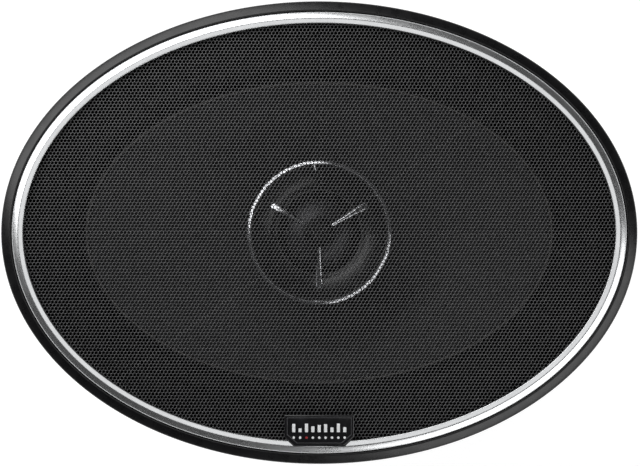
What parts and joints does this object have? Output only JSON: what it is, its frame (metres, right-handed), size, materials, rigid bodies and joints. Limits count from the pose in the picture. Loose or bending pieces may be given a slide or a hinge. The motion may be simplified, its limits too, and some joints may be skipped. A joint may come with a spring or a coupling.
{
  "type": "coaxial car speaker",
  "caption": "Oval coaxial car speaker: woofer with rubber surround, tweeter pod on a centre post, stamped basket, magnet motor and a push-fit perforated grille with silver accent ring.",
  "frame": {"origin": "on the sound axis, in the plane of the panel face that the rear gasket seats on", "axes": "+Z out of the front along the sound axis; +X along the oval's long axis; +Y along its short axis, away from the badge"},
  "size_m": [0.25, 0.1818, 0.0971],
  "materials": {
    "mesh_black": "matt black powder coat on perforated steel",
    "trim_black": "satin black moulded plastic",
    "accent_silver": "satin silver paint on moulded plastic",
    "badge_gloss": "gloss black",
    "emblem_light": "raised light motif",
    "zinc_steel": "zinc plated",
    "frame_plastic": "matt black",
    "foam_black": "closed-cell foam",
    "basket_paint": "satin black paint on stamped steel",
    "surround_rubber": "matt butyl rubber",
    "cone_fibre": "dark grey mineral-filled pulp",
    "resin": "cured adhesive",
    "former_film": "amber film",
    "copper": "enamelled copper wire",
    "spider_cloth": "resin-dipped cotton",
    "tinsel_braid": "braided tinsel cord",
    "magnet_ferrite": "sintered ferrite",
    "boot_rubber": "smooth black rubber",
    "pod_plastic": "satin black",
    "bezel_gloss": "chrome plated rim",
    "dome_film": "metallised film",
    "neodymium": "nickel plated",
    "board_fibre": "phenolic paper board",
    "tinned_brass": "tin plated",
    "cap_sleeve": "blue heat-shrink sleeve",
    "strap_nylon": "natural nylon",
    "wire_sleeve": "red PVC"
  },
  "bodies": {
    "frame": {"grille_base_ring": "frame_plastic", "front_gasket": "foam_black", "rear_gasket": "foam_black", "basket": "basket_paint", "surround": "surround_rubber", "spider": "spider_cloth", "tinsel_leads": "tinsel_braid", "top_plate": "zinc_steel", "magnet": "magnet_ferrite", "yoke": "zinc_steel", "basket_rivets": "zinc_steel", "magnet_boot": "boot_rubber", "post_screw": "zinc_steel", "tweeter_post": "basket_paint", "pod_housing": "pod_plastic", "tweeter_faceplate": "pod_plastic", "pod_bezel": "bezel_gloss", "diffuser": "pod_plastic", "tweeter_cup": "zinc_steel", "tweeter_magnet": "neodymium", "tweeter_plate": "zinc_steel", "tweeter_surround": "surround_rubber", "tweeter_leads": "wire_sleeve", "terminal_board": "board_fibre", "terminal_positive": "tinned_brass", "terminal_negative": "tinned_brass", "terminal_rivets": "zinc_steel", "capacitor": "cap_sleeve", "capacitor_strap": "strap_nylon", "capacitor_leads": "zinc_steel"},
    "cone_assembly": {"cone": "cone_fibre", "cone_collar": "resin", "voice_coil_former": "former_film", "voice_coil": "copper"},
    "tweeter_diaphragm": {"tweeter_dome": "dome_film", "tweeter_coil": "copper"},
    "grille": {"grille_mesh": "mesh_black", "trim_ring": "trim_black", "accent_ring": "accent_silver", "badge_plate": "badge_gloss", "badge_emblem": "emblem_light", "badge_push_nuts": "zinc_steel", "grille_clips": "zinc_steel"}
  },
  "joints": [
    {"name": "cone_travel", "type": "slide", "parent": "frame", "child": "cone_assembly", "axis": [0, 0, 1], "range_m": [-0.005, 0.005], "stiffness_N_per_m": 1600, "deforming": ["surround", "spider", "tinsel_leads"]},
    {"name": "tweeter_travel", "type": "slide", "parent": "frame", "child": "tweeter_diaphragm", "axis": [0, 0, 1], "range_m": [-0.0003, 0.0003], "stiffness_N_per_m": 500, "deforming": ["tweeter_surround"]},
    {"name": "grille_lift", "type": "slide", "parent": "frame", "child": "grille", "axis": [0, 0, 1], "range_m": [0, 0.04]}
  ]
}
